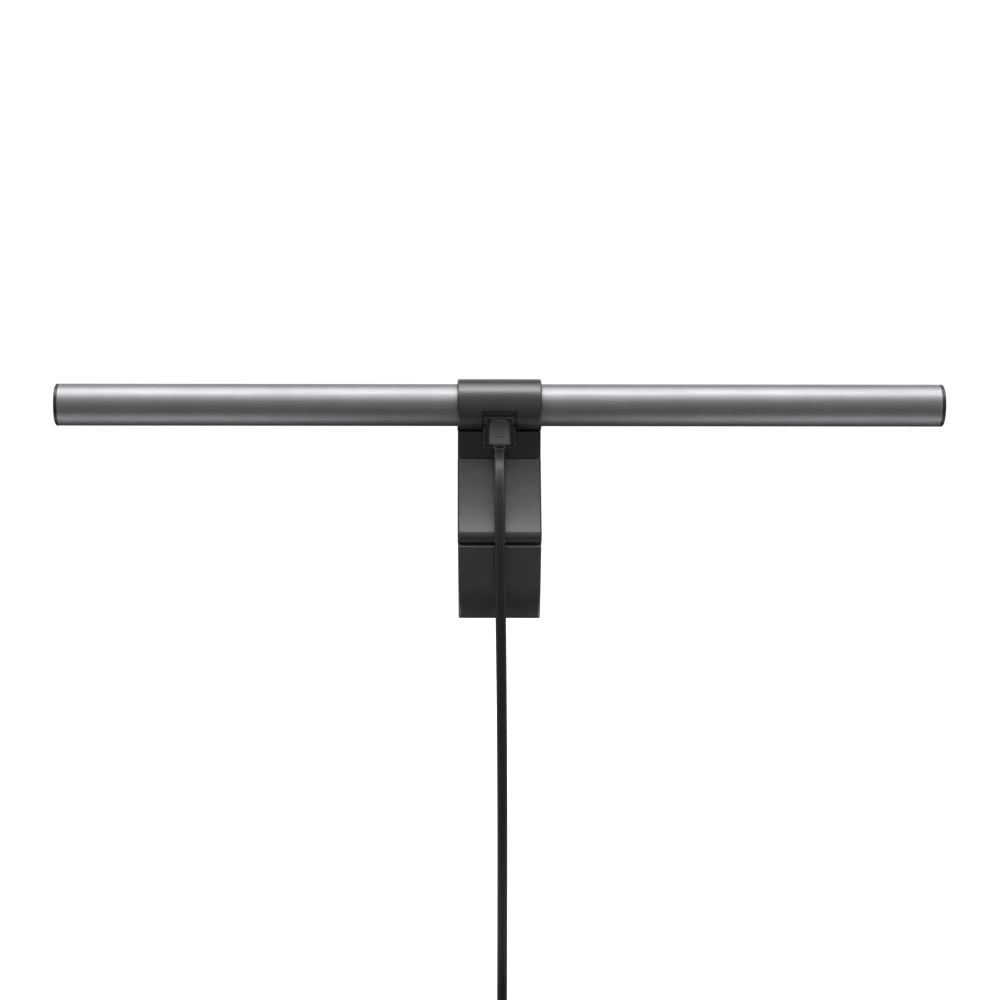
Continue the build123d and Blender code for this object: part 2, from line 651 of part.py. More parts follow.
def strain_relief(width, thickness, length):
    """A tapered collar round the cord, with a slot in each flat side; it stands on z = 0."""
    foot = RectangleRounded(width, thickness, 1.4)
    tip = Pos(0, 0, length) * RectangleRounded(CORD_WIDTH + 0.6, CORD_THICKNESS + 0.6, 1.3)
    bore = extrude(RectangleRounded(CORD_WIDTH + 0.1, CORD_THICKNESS + 0.1, 1.12), length + 1)
    slots = Pos(0, 0, length / 2) * Box(3.6, thickness + 1, 0.45 * length)
    return loft([foot, tip]) - bore - slots


GRIP_HEIGHTS = (-4.4, -6.0, -7.6)


def plug_body():
    """The moulded grip of the plug in the lamp, with three grip bars and its strain relief."""
    body = Pos(0, 0, -PLUG_LENGTH / 2) * Box(PLUG_WIDTH, PLUG_THICKNESS, PLUG_LENGTH)
    body = fillet(body.edges().filter_by(Axis.Z), 1.3)
    body = chamfer(body.faces().sort_by(Axis.Z)[0].edges(), 0.5)
    for height in GRIP_HEIGHTS:
        body += Pos(0, -PLUG_THICKNESS / 2, height) * Box(4.2, 0.5, 0.6)
    relief = Pos(0, 0, -PLUG_LENGTH) * Rot(180, 0, 0) * strain_relief(6.6, 3.8, 2.3)
    return PLUG * (body + relief)


def plug_tip():
    """The plug's metal shell, inside the port."""
    return PLUG * hollow_shell(8.2, 2.4, 6.2, 0.3, 1.1)


def cord_path(name, points):
    """Straight runs joined by arcs as large as the runs allow; prints the radii."""
    corners = [at(back, drop, x) for x, back, drop in points]
    radii = []
    for before, here, after in zip(corners, corners[1:], corners[2:]):
        incoming, outgoing = here - before, after - here
        turn = radians(incoming.get_angle(outgoing))
        radii.append(0.45 * min(incoming.length, outgoing.length) / tan(turn / 2))
    print(name, "radii", [round(r, 1) for r in radii])
    return FilletPolyline(*corners, radius=radii)


def cord_tube(name, points):
    """The flat cord along a route, its width level."""
    path = cord_path(name, points)
    start = Plane(path @ 0, x_dir=Vector(0, 0, 1).cross(path % 0), z_dir=path % 0)
    section = start * RectangleRounded(CORD_WIDTH, CORD_THICKNESS, 1.1)
    tube = sweep(section, path=path)
    expected = section.area * path.length
    print(name, "length", round(path.length, 1))
    print(name, "volume", round(tube.volume, 1), "expected", round(expected, 1))
    return tube


def on_desk(x, back, height):
    """A place at this height above the desk."""
    return Pos(*at(back, FLOOR_DROP - height, x))


def cord_coil():
    """The outer shape of the neat coil that holds the rest of the cord."""
    place = on_desk(COIL_X, COIL_BACK, TIE_WALL + 0.1 + COIL_HEIGHT / 2)
    return place * (Cylinder(COIL_OUTER, COIL_HEIGHT) - Cylinder(COIL_INNER, COIL_HEIGHT + 2))


def cord_tie():
    """The strap round the coil."""
    middle = COIL_BACK + (COIL_INNER + COIL_OUTER) / 2 - 0.15
    depth = COIL_OUTER - COIL_INNER + 0.6
    height = COIL_HEIGHT + 0.2
    place = on_desk(COIL_X, middle, TIE_WALL + height / 2)
    outer = Box(7.0, depth + 2 * TIE_WALL, height + 2 * TIE_WALL)
    return place * (outer - Box(9.0, depth, height))


def charger_place():
    """Where the far plug starts; its local -Z points away from the cord."""
    x, back, drop = CHARGER_PLUG
    return Pos(*at(back, drop, x)) * Rot(0, 0, CHARGER_TURN - 90) * Rot(-90, 0, 0)


def charger_plug_body():
    """The moulded grip of the plug at the cord's far end."""
    body = Pos(0, 0, -11) * Box(15.6, 7.8, 22.0)
    body = fillet(body.edges().filter_by(Axis.Z), 2.0)
    body = chamfer(body.edges().group_by(Axis.Z)[0], 0.5)
    return charger_place() * (body + strain_relief(8.0, 4.6, 4.0))


def charger_plug_tip():
    """The far plug's metal shell and its contact tongue."""
    shell = Pos(0, 0, -34.6) * hollow_shell(12.0, 4.5, 12.6, 0.35, 0.6)
    tongue = Pos(0, 1.0, -28.3) * Box(11.0, 1.9, 12.0)
    return [charger_place() * shell, charger_place() * tongue]


# ---------------------------------------------------------------- all the pieces
def main():
    """Make every piece and write it."""
    os.makedirs("parts", exist_ok=True)
    save("tube_housing", tube_housing())
    save_pair("end_cap", end_cap())
    save("cap_screws", cap_screws())
    save_pair("diffuser", diffuser())
    save_pair("led_board", led_board())
    for name, group in (("leds", leds()), ("reflector", reflector())):
        save(f"{name}_right", group)
        save(f"{name}_left", [mirrored(piece) for piece in group])
    save("bridge_lead", bridge_lead())
    save("driver_board", driver_board())
    save("driver_parts", driver_parts())
    save_pair("retaining_collar", retaining_collar())

    save("sleeve", sleeve())
    save_pair("tilt_bush", tilt_bush())
    save("touch_panel", touch_panel())
    save("touch_film", touch_film())
    save("light_sensor_window", light_sensor_window())
    save("clip_base", clip_base())
    save("port_frame", port_frame())
    save("port_surround", port_surround())
    save("usb_port", usb_port())
    save("port_board", port_board())
    save("front_hook", front_hook())
    save("hook_screws", hook_screws())
    save("seat_pad", seat_pad())
    save("lip_pad", lip_pad())
    save("hinge_pin", hinge_pin())
    save("hinge_washers", hinge_washers())

    save("arm_shell", arm_shell())
    save("arm_inner_cover", arm_inner_cover())
    save("arm_ribs", arm_ribs())
    save("knuckle_bushes", knuckle_bushes())
    save("weight_case", weight_case())
    save("weight_cover", weight_cover())
    save("case_screws", case_screws())
    save("counterweight", counterweight())
    save("rear_pad", rear_pad())

    save("plug_body", plug_body())
    save("plug_tip", plug_tip())
    save("power_cord", cord_tube("power_cord", ROUTE))
    save("cord_coil", cord_coil())
    save("cord_tie", cord_tie())
    save("cord_end", cord_tube("cord_end", END_ROUTE))
    save("charger_plug_body", charger_plug_body())
    save("charger_plug_tip", charger_plug_tip())


main()
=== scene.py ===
"""The looks of the monitor light bar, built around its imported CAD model.

Metres, in the CAD model's frame: +X along the lamp, +Y towards the person at the desk, +Z up.
Shapes are set out in millimetres and `MM` turns them into metres. As in the CAD source, `back` is
the distance behind the lamp's axis (towards -Y) and `drop` is the distance below it.
"""

import json
import math

import bmesh
import bpy
from mathutils import Matrix, Vector


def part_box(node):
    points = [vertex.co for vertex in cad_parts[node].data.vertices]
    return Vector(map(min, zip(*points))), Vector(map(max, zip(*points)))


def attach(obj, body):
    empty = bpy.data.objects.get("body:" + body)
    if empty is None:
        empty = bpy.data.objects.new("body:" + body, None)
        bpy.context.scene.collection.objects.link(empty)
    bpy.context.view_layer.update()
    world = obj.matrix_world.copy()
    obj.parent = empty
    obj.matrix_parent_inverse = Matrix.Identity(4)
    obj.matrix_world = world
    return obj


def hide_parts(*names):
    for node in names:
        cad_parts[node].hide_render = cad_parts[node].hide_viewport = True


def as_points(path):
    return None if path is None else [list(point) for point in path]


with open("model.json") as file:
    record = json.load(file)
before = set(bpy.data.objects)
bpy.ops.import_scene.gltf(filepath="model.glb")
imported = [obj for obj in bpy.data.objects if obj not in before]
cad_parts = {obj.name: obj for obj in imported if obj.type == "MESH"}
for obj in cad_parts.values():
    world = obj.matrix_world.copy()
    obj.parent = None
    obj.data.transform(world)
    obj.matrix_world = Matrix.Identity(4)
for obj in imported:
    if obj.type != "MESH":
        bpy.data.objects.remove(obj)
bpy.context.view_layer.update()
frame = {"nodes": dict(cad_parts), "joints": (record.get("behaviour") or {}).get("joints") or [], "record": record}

MM = 0.001
RECORD = frame["record"]
JOINTS = {joint["name"]: joint for joint in frame["joints"]}
AXIS = Vector(JOINTS["lamp_tilt"]["pos_m"])


def at(x, back, drop):
    """A point in metres, given its distances from the lamp's axis in metres."""
    return AXIS + Vector((x, -back, -drop))


# ---------------------------------------------------------------- camera
CAMERA_ELEVATION = math.radians(8.0)
CAMERA_DISTANCE = 1.27
CAMERA_LENS = 90.05
CAMERA_ROLL = math.radians(0.07)
AIM_BELOW_AXIS = 0.0482       # the camera looks at a point this far below the lamp, up the picture
AIM_RIGHT = 0.00045
CAMERA_LEFT = 0.025           # the camera stands this far to the left; a lens shift recentres it


def make_camera():
    """The camera stands behind the monitor's place, straight on and slightly above."""
    data = bpy.data.cameras.new("camera")
    data.lens = CAMERA_LENS
    data.shift_x = CAMERA_LEFT / CAMERA_DISTANCE * CAMERA_LENS / data.sensor_width
    data.clip_end = 60.0
    camera = bpy.data.objects.new("camera", data)
    bpy.context.scene.collection.objects.link(camera)
    ahead = Vector((0, math.cos(CAMERA_ELEVATION), -math.sin(CAMERA_ELEVATION)))
    upward = Vector((0, math.sin(CAMERA_ELEVATION), math.cos(CAMERA_ELEVATION)))
    aim = AXIS + Vector((AIM_RIGHT - CAMERA_LEFT, 0, 0)) - AIM_BELOW_AXIS * upward
    turn = Matrix((Vector((1, 0, 0)), upward, -ahead)).transposed()
    roll = Matrix.Rotation(CAMERA_ROLL, 3, "Z")
    camera.matrix_world = Matrix.Translation(aim - CAMERA_DISTANCE * ahead) @ (turn @ roll).to_4x4()
    bpy.context.scene.camera = camera


# ---------------------------------------------------------------- the cord's line
CORD_WIDTH, CORD_THICKNESS = 5.3 * MM, 2.4 * MM
DESK_DROP = 0.360             # lamp axis down to the desk top

# from the plug down to the coil: (x, back, drop)
ROUTE = [
    (0.0, 0.00995, 0.01944),
    (0.0, 0.0113, 0.0248),
    (0.0, 0.0174, 0.0327),
    (0.0, 0.0230, 0.0433),
    (0.0001, 0.0278, 0.0565),
    (0.0002, 0.0300, 0.0723),
    (0.0005, 0.0313, 0.0983),
    (0.0012, 0.0318, 0.1420),
    (0.0018, 0.0311, 0.2000),
    (0.0020, 0.0306, 0.2560),
    (0.0021, 0.0293, 0.3040),
    (0.0021, 0.0276, 0.3300),
    (0.0021, 0.0195, 0.3485),
    (0.0020, 0.0030, 0.3588),
    (0.0019, -0.0110, 0.3583),
    (0.0020, -0.0270, 0.3569),
]
# from the coil's upper turns down to the charger plug: (x, back, drop)
END_ROUTE = [
    (-0.0365, -0.0648, 0.3510),
    (-0.0510, -0.0642, 0.3518),
    (-0.0665, -0.0596, 0.3554),
    (-0.0800, -0.0560, 0.3560),
]

COIL_CENTRE = (-0.0326, -0.0298)   # (x, back)
COIL_TURNS = 2.625                 # in each of its two layers
COIL_STEPS = 16                    # points in one turn
COIL_START, COIL_IN, COIL_END = 0.0346, 0.0274, 0.0350
LOWER_DROP, UPPER_DROP = 0.35655, 0.3511
CLIMB_TURNS = 0.4                  # the climb between the two layers takes this share of a turn


def ease(value):
    """A smooth step from 0 to 1."""
    share = min(1.0, max(0.0, value))
    return share * share * (3 - 2 * share)


def coil_points():
    """Two layers of turns: the lower ones wind inwards, the upper ones back outwards."""
    points = []
    for step in range(1, int(2 * COIL_TURNS * COIL_STEPS)):
        turn = step / COIL_STEPS
        if turn < COIL_TURNS:
            radius = COIL_START + (COIL_IN - COIL_START) * turn / COIL_TURNS
        else:
            radius = COIL_IN + (COIL_END - COIL_IN) * (turn - COIL_TURNS) / COIL_TURNS
        radius /= math.cos(math.pi / COIL_STEPS)
        climb = ease((turn - COIL_TURNS) / CLIMB_TURNS + 0.5)
        drop = LOWER_DROP + (UPPER_DROP - LOWER_DROP) * climb
        angle = 2 * math.pi * turn
        x = COIL_CENTRE[0] + radius * math.cos(angle)
        back = COIL_CENTRE[1] - radius * math.sin(angle)
        points.append((x, back, drop))
    return points


def spline_points(name, route):
    """The points along a smooth line that has the route's points as its control points."""
    curve = bpy.data.curves.new(name, "CURVE")
    curve.dimensions = "3D"
    curve.resolution_u = 8
    spline = curve.splines.new("NURBS")
    spline.points.add(len(route) - 1)
    for control, place in zip(spline.points, route):
        control.co = (*at(*place), 1.0)
    spline.order_u = 3
    spline.use_endpoint_u = True
    holder = bpy.data.objects.new(name, curve)
    mesh = bpy.data.meshes.new_from_object(holder)
    line = [vertex.co.copy() for vertex in mesh.vertices]
    bpy.data.meshes.remove(mesh)
    bpy.data.curves.remove(curve)
    return line


# ---------------------------------------------------------------- mesh helpers
def add_piece(name, vertices, faces, body, slot, smooth=True):
    """A new mesh piece that rides on a body and takes its finish from a slot."""
    mesh = bpy.data.meshes.new(name)
    mesh.from_pydata([tuple(v) for v in vertices], [], faces)
    mesh.validate()
    shell = bmesh.new()
    shell.from_mesh(mesh)
    bmesh.ops.recalc_face_normals(shell, faces=shell.faces)
    shell.to_mesh(mesh)
    shell.free()
    if smooth:
        mesh.shade_smooth()
    else:
        mesh.shade_flat()
    piece = bpy.data.objects.new(name, mesh)
    bpy.context.scene.collection.objects.link(piece)
    piece.data.materials.append(material_for(slot))
    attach(piece, body)
    return piece


def loft(rings, close_ends=True):
    """Vertices and faces of a skin over rings that have the same number of points."""
    count = len(rings[0])
    vertices = [point for ring in rings for point in ring]
    faces = []
    for i in range(len(rings) - 1):
        for j in range(count):
            k = (j + 1) % count
            faces.append((i * count + j, i * count + k, (i + 1) * count + k, (i + 1) * count + j))
    if close_ends:
        faces.append(tuple(range(count)))
        faces.append(tuple((len(rings) - 1) * count + j for j in reversed(range(count))))
    return vertices, faces


def join_parts(parts):
    """One vertex list and one face list from several."""
    vertices, faces = [], []
    for part_vertices, part_faces in parts:
        first = len(vertices)
        vertices += list(part_vertices)
        faces += [tuple(first + i for i in face) for face in part_faces]
    return vertices, faces


def rounded_rectangle(width, height, corner, steps=5):
    """Points round a rectangle with rounded corners, as (u, v)."""
    points = []
    for quarter, (su, sv) in enumerate(((1, 1), (-1, 1), (-1, -1), (1, -1))):
        cu, cv = su * (width / 2 - corner), sv * (height / 2 - corner)
        for step in range(steps + 1):
            angle = math.pi / 2 * (quarter + step / steps)
            points.append((cu + corner * math.cos(angle), cv + corner * math.sin(angle)))
    return points


def layered_slab(place, width, height, corner, layers):
    """A rounded slab built up from (inset, level) outlines. place maps (u, v, w) to a point."""
    rings = []
    for inset, level in layers:
        radius = max(corner - inset, 0.05 * MM)
        outline = rounded_rectangle(width - 2 * inset, height - 2 * inset, radius)
        rings.append([place(u, v, level) for u, v in outline])
    return loft(rings)


# ---------------------------------------------------------------- materials
NOISE_ROUGHNESS = 0.55            # how strongly the finer layers of the noise show
NOISE_LOW, NOISE_HIGH = 0.3, 0.7  # the range that the noise mostly keeps to


class Finish:
    """A Principled material whose colour, roughness and relief come from procedural textures."""

    def __init__(self, name, metallic=0.0, specular=0.5):
        self.material = bpy.data.materials.new(name)
        self.material.use_nodes = True
        self.tree = self.material.node_tree
        self.shader = self.tree.nodes["Principled BSDF"]
        self.shader.inputs["Metallic"].default_value = metallic
        self.shader.inputs["Specular IOR Level"].default_value = specular
        self.coordinates = self.tree.nodes.new("ShaderNodeTexCoord").outputs["Object"]
        self.bump = None

    def node(self, kind, **settings):
        """A new node with these properties."""
        made = self.tree.nodes.new(kind)
        for key, value in settings.items():
            setattr(made, key, value)
        return made

    def place(self, stretch):
        """Object coordinates, stretched along the axes."""
        mapping = self.node("ShaderNodeMapping")
        mapping.inputs["Scale"].default_value = stretch
        self.tree.links.new(self.coordinates, mapping.inputs["Vector"])
        return mapping.outputs["Vector"]

    def noise(self, scale, stretch=(1, 1, 1), detail=3.0):
        """Cloudy noise with features about 1/scale metres across."""
        made = self.node("ShaderNodeTexNoise")
        made.inputs["Scale"].default_value = scale
        made.inputs["Detail"].default_value = detail
        made.inputs["Roughness"].default_value = NOISE_ROUGHNESS
        self.tree.links.new(self.place(stretch), made.inputs["Vector"])
        return made.outputs["Fac"]

    def cells(self, scale):
        """Distance to the middle of the nearest random cell."""
        made = self.node("ShaderNodeTexVoronoi")
        made.inputs["Scale"].default_value = scale
        self.tree.links.new(self.coordinates, made.inputs["Vector"])
        return made.outputs["Distance"]

    def bands(self, scale, direction, distortion=0.0):
        """Regular parallel bands."""
        made = self.node("ShaderNodeTexWave", bands_direction=direction)
        made.inputs["Scale"].default_value = scale
        made.inputs["Distortion"].default_value = distortion
        self.tree.links.new(self.coordinates, made.inputs["Vector"])
        return made.outputs["Fac"]

    def ramp(self, factor, stops):
        """A colour ramp over (position, colour) stops."""
        made = self.node("ShaderNodeValToRGB")
        elements = made.color_ramp.elements
        while len(elements) < len(stops):
            elements.new(0.5)
        for element, (position, colour) in zip(elements, stops):
            element.position = position
            element.color = (*colour, 1.0)
        self.tree.links.new(factor, made.inputs["Fac"])
        return made.outputs["Color"]

    def colour(self, source):
        """Use this colour."""
        self.tree.links.new(source, self.shader.inputs["Base Color"])

    def roughness(self, factor, low, high):
        """Roughness that follows a texture between two values."""
        made = self.node("ShaderNodeMapRange")
        made.inputs["From Min"].default_value = NOISE_LOW
        made.inputs["From Max"].default_value = NOISE_HIGH
        made.inputs["To Min"].default_value = low
        made.inputs["To Max"].default_value = high
        self.tree.links.new(factor, made.inputs["Value"])
        self.tree.links.new(made.outputs["Result"], self.shader.inputs["Roughness"])

    def relief(self, height, depth):
        """Surface relief of this depth in metres, on top of any relief before it."""
        made = self.node("ShaderNodeBump")
        made.inputs["Strength"].default_value = 1.0
        made.inputs["Distance"].default_value = depth
        self.tree.links.new(height, made.inputs["Height"])
        if self.bump is not None:
            self.tree.links.new(self.bump, made.inputs["Normal"])
        self.bump = made.outputs["Normal"]
        self.tree.links.new(self.bump, self.shader.inputs["Normal"])


def grey(value, tint=0.0):
    """A neutral colour; tint makes it slightly bluer."""
    return (value * (1 - tint), value, value * (1 + 2 * tint))


def mottled(finish, base, spread, tint=0.0, scale=90.0):
    """Slight cloudy variation of a grey."""
    cloud = finish.noise(scale)
    finish.colour(finish.ramp(cloud, [
        (0.35, grey(base * (1 - spread), tint)),
        (0.65, grey(base * (1 + spread), tint)),
    ]))


def anodised_aluminium():
    """Bead-blasted, anodised extrusion with faint drawing lines along it."""
    finish = Finish("anodised_aluminium", metallic=1.0)
    mottled(finish, 0.255, 0.04, 0.02, 60.0)
    finish.roughness(finish.noise(900.0, (0.02, 1, 1)), 0.49, 0.56)
    finish.relief(finish.noise(1600.0, (0.012, 1, 1), 2.0), 0.000006)
    finish.relief(finish.noise(3200.0, detail=2.0), 0.00001)
    return finish.material


def grey_plastic():
    """Dark grey moulded plastic with a fine spark-eroded texture."""
    finish = Finish("grey_plastic", specular=0.85)
    mottled(finish, 0.020, 0.10, 0.02)
    finish.roughness(finish.noise(700.0), 0.33, 0.40)
    finish.relief(finish.noise(2600.0, detail=2.0), 0.000022)
    finish.relief(finish.cells(1700.0), 0.000008)
    return finish.material


def black_plastic():
    """Satin black moulded plastic."""
    finish = Finish("black_plastic", specular=0.5)
    mottled(finish, 0.012, 0.12)
    finish.roughness(finish.noise(800.0), 0.38, 0.5)
    finish.relief(finish.noise(2400.0, detail=2.0), 0.00002)
    return finish.material


def glossy_black():
    """Polished black with faint swirl marks."""
    finish = Finish("glossy_black", specular=0.5)
    mottled(finish, 0.006, 0.2)
    finish.roughness(finish.noise(350.0, (1, 3, 3)), 0.06, 0.16)
    finish.relief(finish.noise(120.0, detail=1.0), 0.000006)
    return finish.material


def frosted_lens():
    """Opal diffuser with fine lines along it."""
    finish = Finish("frosted_lens", specular=0.45)
    mottled(finish, 0.80, 0.03, -0.01, 200.0)
    finish.shader.inputs["Transmission Weight"].default_value = 0.25
    finish.shader.inputs["Subsurface Weight"].default_value = 0.15
    finish.shader.inputs["Subsurface Radius"].default_value = (0.002, 0.002, 0.002)
    finish.shader.inputs["Subsurface Scale"].default_value = 0.5
    finish.roughness(finish.noise(900.0), 0.42, 0.58)
    finish.relief(finish.noise(2200.0, (0.02, 1, 1)), 0.00003)
    return finish.material


def clear_window():
    """Smoked clear window."""
    finish = Finish("clear_window", specular=0.6)
    mottled(finish, 0.05, 0.1, 0.03, 400.0)
    finish.shader.inputs["Transmission Weight"].default_value = 0.7
    finish.roughness(finish.noise(500.0), 0.04, 0.1)
    return finish.material


def circuit_board():
    """White solder mask with tracks showing faintly through."""
    finish = Finish("circuit_board", specular=0.5)
    tracks = finish.bands(260.0, "Y", distortion=2.0)
    finish.colour(finish.ramp(tracks, [(0.42, (0.80, 0.80, 0.76)), (0.58, (0.66, 0.68, 0.60))]))
    finish.roughness(finish.noise(600.0), 0.28, 0.42)
    finish.relief(tracks, 0.00003)
    return finish.material


def led_package():
    """Grainy yellow phosphor of the diodes."""
    finish = Finish("led_package", specular=0.5)
    grain = finish.noise(2500.0)
    finish.colour(finish.ramp(grain, [(0.35, (0.80, 0.58, 0.12)), (0.65, (0.92, 0.74, 0.25))]))
    finish.roughness(grain, 0.25, 0.4)
    finish.relief(grain, 0.00002)
    return finish.material


def white_plastic():
    """White reflector plastic."""
    finish = Finish("white_plastic", specular=0.5)
    mottled(finish, 0.82, 0.03)
    finish.roughness(finish.noise(900.0), 0.3, 0.42)
    finish.relief(finish.noise(1500.0), 0.00001)
    return finish.material


def flex_film():
    """Amber film with copper tracks."""
    finish = Finish("flex_film", specular=0.5)
    tracks = finish.bands(500.0, "Y")
    finish.colour(finish.ramp(tracks, [(0.4, (0.40, 0.20, 0.05)), (0.6, (0.62, 0.36, 0.12))]))
    finish.roughness(finish.noise(500.0), 0.2, 0.32)
    finish.relief(tracks, 0.00002)
    return finish.material


def component_plastic():
    """Black epoxy of electronic components."""
    finish = Finish("component_plastic")
    mottled(finish, 0.03, 0.2, 0.0, 500.0)
    finish.roughness(finish.noise(900.0), 0.45, 0.6)
    finish.relief(finish.noise(2500.0), 0.00002)
    return finish.material


def bearing_plastic():
    """Self-coloured slippery plastic."""
    finish = Finish("bearing_plastic")
    mottled(finish, 0.028, 0.15)
    finish.roughness(finish.noise(400.0, (0.1, 1, 1)), 0.28, 0.4)
    finish.relief(finish.noise(1800.0, (0.1, 1, 1)), 0.00001)
    return finish.material


def steel(name, base, low, high, stretch, depth):
    """Bare or plated steel with machining marks."""
    finish = Finish(name, metallic=1.0)
    mottled(finish, base, 0.08, 0.0, 300.0)
    marks = finish.noise(1200.0, stretch)
    finish.roughness(marks, low, high)
    finish.relief(marks, depth)
    return finish.material


def screw_steel():
    """Black zinc plate."""
    return steel("screw_steel", 0.10, 0.28, 0.42, (1, 1, 1), 0.000015)


def pin_steel():
    """Ground steel."""
    return steel("pin_steel", 0.55, 0.16, 0.28, (1, 0.05, 0.05), 0.000008)


def weight_steel():
    """Sawn steel with blade marks."""
    return steel("weight_steel", 0.38, 0.32, 0.48, (1, 0.08, 0.08), 0.00003)


def connector_metal():
    """Bright nickel plate."""
    return steel("connector_metal", 0.66, 0.14, 0.24, (1, 0.2, 0.2), 0.000006)


def soft_pad():
    """Soft black silicone with a dusty bloom."""
    finish = Finish("soft_pad", specular=0.35)
    dust = finish.noise(160.0, detail=5.0)
    finish.colour(finish.ramp(dust, [(0.35, grey(0.022)), (0.7, grey(0.034))]))
    finish.shader.inputs["Sheen Weight"].default_value = 0.25
    finish.shader.inputs["Sheen Roughness"].default_value = 0.4
    finish.roughness(finish.noise(700.0), 0.6, 0.78)
    finish.relief(finish.noise(2200.0), 0.00003)
    return finish.material


def plug_plastic():
    """Soft-touch moulded plug plastic, a little lighter than the cord."""
    finish = Finish("plug_plastic", specular=0.5)
    mottled(finish, 0.075, 0.06, 0.01)
    finish.roughness(finish.noise(800.0), 0.42, 0.54)
    finish.relief(finish.noise(2400.0, detail=2.0), 0.00002)
    return finish.material


def cord_jacket():
    """Matte black jacket."""
    finish = Finish("cord_jacket", specular=0.5)
    mottled(finish, 0.021, 0.12, 0.01, 120.0)
    finish.roughness(finish.noise(600.0), 0.40, 0.52)
    finish.relief(finish.noise(1800.0, detail=2.0), 0.00002)
    return finish.material


def cord_painted_shade_middle():
    """The middle of the flat cord, between its two beaded edges, painted darker than the jacket: painted shade
    standing in for the dark reflection on the flat middle.
    """
    finish = Finish("cord_painted_shade_middle", specular=0.5)
    mottled(finish, 0.007, 0.12, 0.01, 120.0)
    finish.roughness(finish.noise(600.0), 0.30, 0.38)
    finish.relief(finish.noise(2200.0, detail=2.0), 0.00003)
    return finish.material


def tie_fabric():
    """Black hook-and-loop strap: a felt of fine loops."""
    finish = Finish("tie_fabric", specular=0.2)
    loops = finish.cells(1500.0)
    finish.colour(finish.ramp(loops, [(0.0, grey(0.040)), (0.7, grey(0.010))]))
    finish.shader.inputs["Sheen Weight"].default_value = 0.5
    finish.shader.inputs["Sheen Roughness"].default_value = 0.5
    finish.roughness(finish.noise(900.0), 0.8, 0.95)
    finish.relief(loops, -0.00015)
    finish.relief(finish.noise(3000.0), 0.00005)
    return finish.material


def mark_print():
    """Pale grey printed marks on the touch panel."""
    finish = Finish("mark_print", specular=0.4)
    mottled(finish, 0.42, 0.05, 0.0, 900.0)
    finish.roughness(finish.noise(1500.0), 0.35, 0.5)
    finish.relief(finish.noise(4000.0), 0.000004)
    return finish.material


FINISHES = {
    made.__name__: made
    for made in (
        anodised_aluminium, grey_plastic, black_plastic, glossy_black, frosted_lens, clear_window,
        circuit_board, led_package, white_plastic, flex_film, component_plastic, bearing_plastic,
        screw_steel, pin_steel, weight_steel, connector_metal, soft_pad, plug_plastic, cord_jacket,
        tie_fabric,
    )
}
made_materials = {}


def material_for(slot):
    """The material of one of the record's slots, made once."""
    if slot not in made_materials:
        made_materials[slot] = FINISHES[slot]()
    return made_materials[slot]


def finish_cad_nodes():
    """Give every CAD node the material of its slot."""
    for subpart in RECORD["subparts"]:
        node = frame["nodes"][subpart["node"]]
        node.data.materials.clear()
        node.data.materials.append(material_for(subpart["material_slot"]))


# ---------------------------------------------------------------- the cord
# one quarter of the cord's outline in millimetres: a rounded bead at the edge, a fine middle rib
CORD_QUARTER = [
    (2.65, 0.0), (2.61, 0.42), (2.40, 0.82), (2.05, 1.09), (1.62, 1.20), (1.22, 1.12),
    (0.92, 0.97), (0.60, 0.94), (0.34, 0.97), (0.14, 1.06), (0.0, 1.08),
]


def cord_outline():
    """The closed outline, as distances across the width and through the thickness, in metres."""
    right = CORD_QUARTER
    left = [(-u, v) for u, v in reversed(right[:-1])]
    upper = right + left
    lower = [(u, -v) for u, v in reversed(upper[1:-1])]
    return [(u * MM, v * MM) for u, v in upper + lower]


PAINTED_SHADE_HALF = 1.7 * MM               # half the width of the cord's middle, which is painted darker as painted shade
LANDED = 6 * MM                   # the cord has come down to the desk below this height
TWIST_IN = (-0.003, -0.040)       # the cord turns on edge between these, in back
TWIST_OUT = (-0.044, -0.076)      # and lies flat again between these, in x


def make_cord():
    """The flat cord, from the plug to the charger plug, with its put-away coil."""
    route = ROUTE + coil_points() + END_ROUTE
    line = spline_points("cord_line", route)
    travelled = [0.0]
    for before, here in zip(line, line[1:]):
        travelled.append(travelled[-1] + (here - before).length)

    count = len(line)
    desk = at(0, 0, DESK_DROP).z
    per_point = count / len(route)
    into_coil = int(per_point * (len(ROUTE) + 1))
    out_of_coil = int(per_point * (len(route) - len(END_ROUTE) - 1))
    landed = [i for i in range(into_coil) if line[i].z < desk + LANDED]
    leaving = range(out_of_coil, count)
    turn_in = [
        travelled[min(landed, key=lambda i: abs(AXIS.y - line[i].y - back))] for back in TWIST_IN
    ]
    turn_out = [travelled[min(leaving, key=lambda i: abs(line[i].x - x))] for x in TWIST_OUT]

    outline = cord_outline()
    rings = []
    for i, centre in enumerate(line):
        along = (line[min(i + 1, count - 1)] - line[max(i - 1, 0)]).normalized()
        up_share = (travelled[i] - turn_in[0]) / (turn_in[1] - turn_in[0])
        down_share = (travelled[i] - turn_out[0]) / (turn_out[1] - turn_out[0])
        turned = math.pi / 2 * (min(1.0, max(0.0, up_share)) - min(1.0, max(0.0, down_share)))
        hanging = turned == 0 and i < count // 2
        level = Vector((1, 0, 0)) if hanging else along.cross(Vector((0, 0, 1)))
        level = (level - level.dot(along) * along).normalized()
        across = math.cos(turned) * level + math.sin(turned) * level.cross(along)
        through = along.cross(across)
        rings.append([centre + u * across + v * through for u, v in outline])
    vertices, faces = loft(rings)
    cord = add_piece("cord", vertices, faces, "clip", "cord_jacket")
    cord.data.materials.append(cord_painted_shade_middle())
    # the middle faces take the darker material: painted shade for the dark reflection on the cord's flat middle
    sides = len(outline)
    for face in list(cord.data.polygons)[:sides * (count - 1)]:
        ends = (outline[face.index % sides], outline[(face.index + 1) % sides])
        if max(abs(u) for u, v in ends) < PAINTED_SHADE_HALF:
            face.material_index = 1
    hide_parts("power_cord", "cord_coil", "cord_end")
    return cord, line


